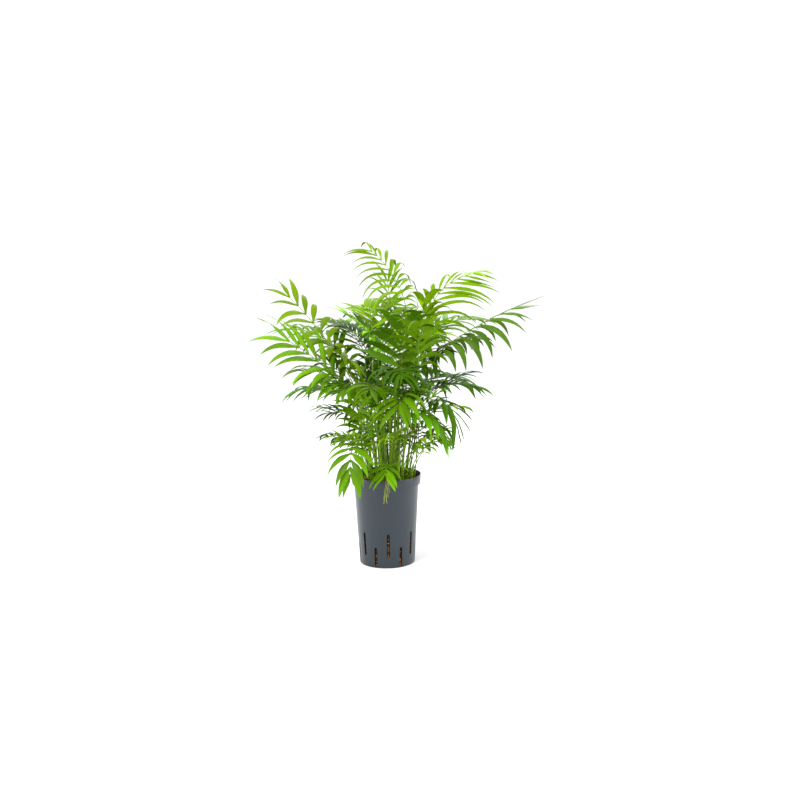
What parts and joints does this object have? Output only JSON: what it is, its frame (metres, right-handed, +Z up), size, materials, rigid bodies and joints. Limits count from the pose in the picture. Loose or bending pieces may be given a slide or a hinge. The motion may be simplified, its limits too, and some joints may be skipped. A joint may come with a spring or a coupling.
{
  "type": "potted parlour palm",
  "caption": "Parlour palm: a clump of slim canes with arching feather fronds, in a slotted grey culture pot of clay granules.",
  "frame": {"origin": "centre of the flat underside of the pot", "axes": "+Z up out of the pot, -Y towards the front of the plant, +X to its right as seen from the front"},
  "size_m": [0.5948, 0.4993, 0.6861],
  "materials": {
    "pot_plastic": "satin grey-blue plastic",
    "clay_granules": "rough fired clay granules, moist",
    "cane": "smooth green cane with pale rings",
    "leaf_lime": "young yellow-green leaf, softly glossy",
    "leaf_green": "mid-green leaf, softly glossy",
    "leaf_deep": "deep green leaf, softly glossy",
    "leaf_blue": "blue-green leaf, softly glossy",
    "inflorescence": "pale yellow-green strands"
  },
  "bodies": {
    "root": {"pot": "pot_plastic", "substrate": "clay_granules", "cane_01": "cane", "cane_02": "cane", "cane_03": "cane", "cane_04": "cane", "cane_05": "cane", "cane_06": "cane", "cane_07": "cane", "cane_08": "cane", "cane_09": "cane", "cane_10": "cane", "cane_11": "cane", "cane_12": "cane", "cane_13": "cane", "cane_14": "cane", "frond_crest_left": "leaf_lime", "frond_crest_right": "leaf_lime", "frond_crest_back": "leaf_green", "frond_crown_front": "leaf_lime", "frond_right_reach": "leaf_blue", "frond_right_dark": "leaf_deep", "frond_left_high": "leaf_lime", "frond_left_mid": "leaf_green", "frond_left_low": "leaf_green", "frond_left_bright": "leaf_lime", "frond_left_under": "leaf_green", "frond_left_inner": "leaf_deep", "frond_left_fringe": "leaf_green", "frond_left_spire": "leaf_green", "frond_left_back": "leaf_deep", "frond_pot_left": "leaf_green", "frond_pot_front": "leaf_green", "frond_centre_fan": "leaf_green", "frond_centre_drape": "leaf_deep", "frond_centre_bright": "leaf_green", "frond_centre_low": "leaf_deep", "frond_right_low": "leaf_deep", "frond_right_tuft": "leaf_deep", "frond_right_inner": "leaf_deep", "frond_right_fringe": "leaf_green", "inflorescence": "inflorescence", "frond_rear_top_1": "leaf_lime", "frond_rear_top_2": "leaf_lime", "frond_rear_top_3": "leaf_lime", "frond_rear_top_4": "leaf_lime", "frond_rear_mid_1": "leaf_green", "frond_rear_mid_2": "leaf_green", "frond_rear_mid_3": "leaf_green", "frond_rear_mid_4": "leaf_green", "frond_rear_mid_5": "leaf_green", "frond_rear_low_1": "leaf_deep", "frond_rear_low_2": "leaf_deep", "frond_rear_low_3": "leaf_deep", "frond_rear_low_4": "leaf_deep", "frond_front_mid_1": "leaf_green", "frond_front_mid_2": "leaf_green", "frond_front_mid_3": "leaf_green", "frond_rear_rim_1": "leaf_green", "frond_rear_rim_2": "leaf_green"}
  },
  "joints": []
}
